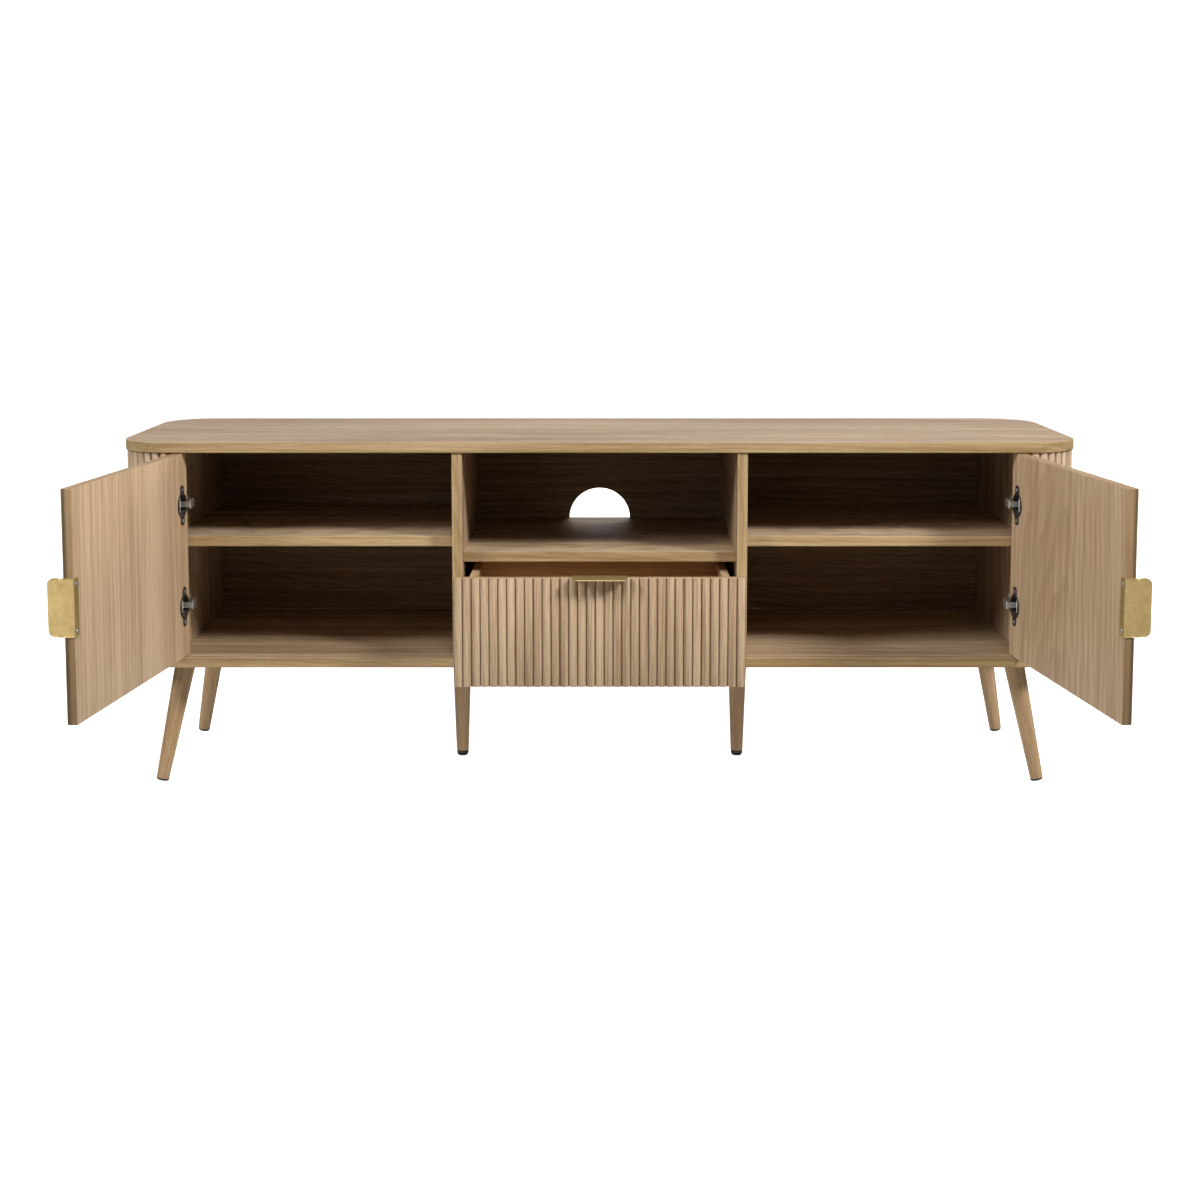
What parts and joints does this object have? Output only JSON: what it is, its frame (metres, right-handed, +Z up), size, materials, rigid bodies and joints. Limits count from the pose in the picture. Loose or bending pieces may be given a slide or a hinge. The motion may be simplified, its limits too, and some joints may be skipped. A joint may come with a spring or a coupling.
{
  "type": "media cabinet",
  "caption": "Low oak-finish media cabinet with reeded doors, drawer and wrapped ends, open shelf, cable hole and splayed tapered legs.",
  "frame": {"origin": "on the floor, below the centre of the top panel", "axes": "+X to the right along the front, -Y out of the front, +Z up"},
  "size_m": [1.5, 0.8096, 0.55],
  "materials": {
    "oak_board": "matt oak-grain laminate on board",
    "back_board": "printed oak-grain board, matt",
    "reeded_oak": "reeded board with matt oak-grain skin",
    "leg_oak": "turned wood, matt lacquer",
    "raw_wood": "bare softwood and beech",
    "drawer_board": "oak-grain laminate on board, matt",
    "brass": "satin brass-coloured plate",
    "hinge_black": "black plated steel",
    "nickel": "nickel-plated pressed steel",
    "zinc": "zinc-plated steel",
    "runner_steel": "zinc-plated rolled steel",
    "black_plastic": "moulded black plastic"
  },
  "bodies": {
    "cabinet": {"top_panel": "oak_board", "bottom_panel": "oak_board", "left_side_panel": "oak_board", "right_side_panel": "oak_board", "left_reeded_end": "reeded_oak", "right_reeded_end": "reeded_oak", "end_battens": "raw_wood", "left_partition": "oak_board", "right_partition": "oak_board", "left_shelf": "oak_board", "right_shelf": "oak_board", "centre_shelf": "oak_board", "left_back_panel": "back_board", "centre_back_panel": "back_board", "right_back_panel": "back_board", "front_left_leg": "leg_oak", "front_right_leg": "leg_oak", "rear_left_leg": "leg_oak", "rear_right_leg": "leg_oak", "centre_left_leg": "leg_oak", "centre_right_leg": "leg_oak", "corner_glides": "black_plastic", "leg_plates": "zinc", "leg_bolts": "zinc", "leg_plate_screws": "zinc", "carcass_screws": "zinc", "dowels": "raw_wood", "shelf_pins": "zinc", "back_screws": "zinc", "hinge_arms": "nickel", "hinge_plates": "nickel", "hinge_plate_screws": "zinc", "hinge_arm_screws": "zinc", "cabinet_runners": "runner_steel", "runner_screws": "zinc"},
    "left_door": {"left_door": "reeded_oak", "left_door_handle": "brass", "left_handle_screws": "zinc", "left_hinge_cups": "hinge_black", "left_cup_screws": "zinc", "left_hinge_pins": "nickel"},
    "right_door": {"right_door": "reeded_oak", "right_door_handle": "brass", "right_handle_screws": "zinc", "right_hinge_cups": "hinge_black", "right_cup_screws": "zinc", "right_hinge_pins": "nickel"},
    "drawer": {"drawer_front": "reeded_oak", "drawer_left_side": "drawer_board", "drawer_right_side": "drawer_board", "drawer_back": "drawer_board", "drawer_floor": "drawer_board", "drawer_handle": "brass", "drawer_handle_screws": "zinc", "drawer_screws": "zinc", "drawer_runners": "runner_steel"},
    "left_middle_runner": {"left_middle_runner": "runner_steel"},
    "right_middle_runner": {"right_middle_runner": "runner_steel"},
    "left_leveller": {"left_leveller": "black_plastic"},
    "right_leveller": {"right_leveller": "black_plastic"}
  },
  "joints": [
    {"name": "left_door_swing", "type": "hinge", "parent": "cabinet", "child": "left_door", "pos_m": [-0.653, -0.1895, 0.373], "axis": [0, 0, -1], "range_deg": [-97.3, 12.7]},
    {"name": "right_door_swing", "type": "hinge", "parent": "cabinet", "child": "right_door", "pos_m": [0.653, -0.1895, 0.373], "axis": [0, 0, 1], "range_deg": [-97.3, 12.7]},
    {"name": "drawer_slide", "type": "slide", "parent": "cabinet", "child": "drawer", "axis": [0, -1, 0], "range_m": [-0.198, 0.1]},
    {"name": "left_runner_slide", "type": "slide", "parent": "cabinet", "child": "left_middle_runner", "axis": [0, -1, 0], "range_m": [-0.099, 0.05]},
    {"name": "right_runner_slide", "type": "slide", "parent": "cabinet", "child": "right_middle_runner", "axis": [0, -1, 0], "range_m": [-0.099, 0.05]},
    {"name": "left_leveller_turn", "type": "hinge", "parent": "cabinet", "child": "left_leveller", "pos_m": [-0.2305, 0, 0], "axis": [0, 0, 1], "continuous": true},
    {"name": "right_leveller_turn", "type": "hinge", "parent": "cabinet", "child": "right_leveller", "pos_m": [0.2305, 0, 0], "axis": [0, 0, 1], "continuous": true}
  ],
  "couplings": [
    {"joint": "left_runner_slide", "follows": "drawer_slide", "ratio": 0.5},
    {"joint": "right_runner_slide", "follows": "drawer_slide", "ratio": 0.5}
  ]
}
